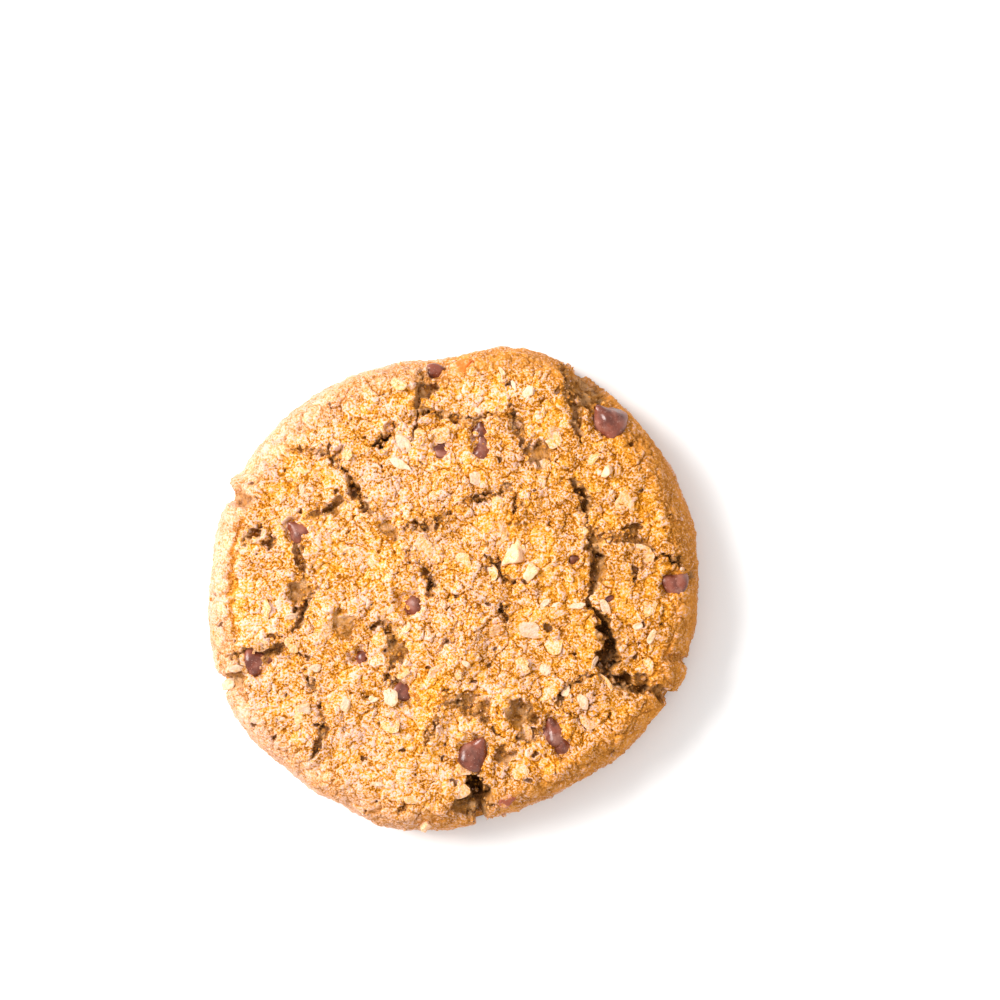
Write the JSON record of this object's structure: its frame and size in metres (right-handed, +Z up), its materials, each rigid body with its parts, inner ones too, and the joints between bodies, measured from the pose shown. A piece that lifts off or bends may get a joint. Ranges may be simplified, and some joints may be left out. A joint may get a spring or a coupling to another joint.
{
  "type": "oatmeal cookie",
  "caption": "Thick round baked oatmeal cookie with a cracked, craggy top, chocolate chips, nut pieces and oat flakes baked in, and a flat base.",
  "frame": {"origin": "under the middle of the cookie's box, on the plane of its flat base", "axes": "+Z up through the cracked top; +Y towards the side that is at the top of the picture, +X towards its right"},
  "size_m": [0.0856, 0.0848, 0.017],
  "materials": {
    "crust": "dry, grainy baked crust",
    "chocolate": "satin chocolate with a pale bloom",
    "oat": "dry toasted oat flake",
    "nut": "satin roasted nut"
  },
  "bodies": {
    "root": {"cookie": "crust"}
  },
  "joints": []
}
